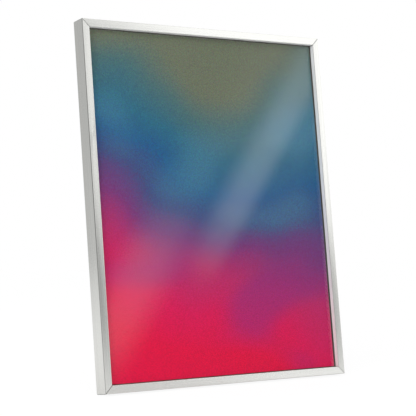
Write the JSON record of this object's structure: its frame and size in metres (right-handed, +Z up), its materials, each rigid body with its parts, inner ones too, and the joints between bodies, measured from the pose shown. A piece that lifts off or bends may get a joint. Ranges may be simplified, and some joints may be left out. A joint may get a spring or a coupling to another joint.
{
  "type": "framed poster",
  "caption": "Slim metal poster frame with deep plain sides and a glazed print, leaning back on a folding strut, with keyhole hangers and turn clips behind.",
  "frame": {"origin": "on the surface the frame stands on, at the middle of its width and of its depth, from the front face's lowest edge to the back of the strut's shoe", "axes": "+X to the right as seen from the front, +Y from the front towards the back, +Z up; the frame leans back by 7.45 degrees"},
  "size_m": [0.412, 0.1, 0.5108],
  "materials": {
    "satin_aluminium": "satin, finely brushed along each rail, clear anodised",
    "key_steel": "zinc plated, dull",
    "black_steel": "black oxide",
    "clear_glass": "clear, glossy",
    "poster_paper": "matt print, soft blended colours with a fine grain",
    "grey_card": "uncoated",
    "hardboard": "smooth pressed hardboard",
    "spring_steel": "bright, slightly blued",
    "zinc_steel": "zinc plated",
    "shoe_rubber": "matt"
  },
  "bodies": {
    "frame": {"rail_bottom": "satin_aluminium", "rail_left": "satin_aluminium", "rail_top": "satin_aluminium", "rail_right": "satin_aluminium", "corner_key_bottom_left": "key_steel", "corner_key_top_left": "key_steel", "corner_key_top_right": "key_steel", "corner_key_bottom_right": "key_steel", "grub_screws": "black_steel", "glazing": "clear_glass", "print_sheet": "poster_paper", "backing_card": "grey_card", "back_panel": "hardboard", "clip_rivets": "zinc_steel", "hinge_plate": "zinc_steel", "plate_rivets": "zinc_steel", "hinge_pin": "zinc_steel", "hanger_left": "zinc_steel", "hanger_right": "zinc_steel", "hanger_rivets": "zinc_steel"},
    "clip_bottom_left": {"turn_clip_bottom_left": "spring_steel"},
    "clip_bottom_right": {"turn_clip_bottom_right": "spring_steel"},
    "clip_left_high": {"turn_clip_left_high": "spring_steel"},
    "clip_left_low": {"turn_clip_left_low": "spring_steel"},
    "clip_top_right": {"turn_clip_top_right": "spring_steel"},
    "clip_top_left": {"turn_clip_top_left": "spring_steel"},
    "clip_right_low": {"turn_clip_right_low": "spring_steel"},
    "clip_right_high": {"turn_clip_right_high": "spring_steel"},
    "strut": {"strut_leaf": "zinc_steel", "strut_rivets": "zinc_steel", "strut": "hardboard", "strut_shoe": "shoe_rubber"}
  },
  "joints": [
    {"name": "clip_bottom_left_turn", "type": "hinge", "parent": "frame", "child": "clip_bottom_left", "pos_m": [-0.115, -0.0335, 0.0181], "axis": [0, 0.9916, -0.1297], "range_deg": [-90, 90]},
    {"name": "clip_bottom_right_turn", "type": "hinge", "parent": "frame", "child": "clip_bottom_right", "pos_m": [0.115, -0.0335, 0.0181], "axis": [0, 0.9916, -0.1297], "range_deg": [-90, 90]},
    {"name": "clip_left_high_turn", "type": "hinge", "parent": "frame", "child": "clip_left_high", "pos_m": [-0.189, 0.01759, 0.40877], "axis": [0, 0.9916, -0.1297], "range_deg": [-90, 90]},
    {"name": "clip_left_low_turn", "type": "hinge", "parent": "frame", "child": "clip_left_low", "pos_m": [-0.189, -0.02261, 0.10139], "axis": [0, 0.9916, -0.1297], "range_deg": [-90, 90]},
    {"name": "clip_top_right_turn", "type": "hinge", "parent": "frame", "child": "clip_top_right", "pos_m": [0.115, 0.02848, 0.49207], "axis": [0, 0.9916, -0.1297], "range_deg": [-90, 90]},
    {"name": "clip_top_left_turn", "type": "hinge", "parent": "frame", "child": "clip_top_left", "pos_m": [-0.115, 0.02848, 0.49207], "axis": [0, 0.9916, -0.1297], "range_deg": [-90, 90]},
    {"name": "clip_right_low_turn", "type": "hinge", "parent": "frame", "child": "clip_right_low", "pos_m": [0.189, -0.02261, 0.10139], "axis": [0, 0.9916, -0.1297], "range_deg": [-90, 90]},
    {"name": "clip_right_high_turn", "type": "hinge", "parent": "frame", "child": "clip_right_high", "pos_m": [0.189, 0.01759, 0.40877], "axis": [0, 0.9916, -0.1297], "range_deg": [-90, 90]},
    {"name": "strut_fold", "type": "hinge", "parent": "frame", "child": "strut", "pos_m": [0, 0.0115, 0.33292], "axis": [1, 0, 0], "range_deg": [-11.7, 0]}
  ]
}
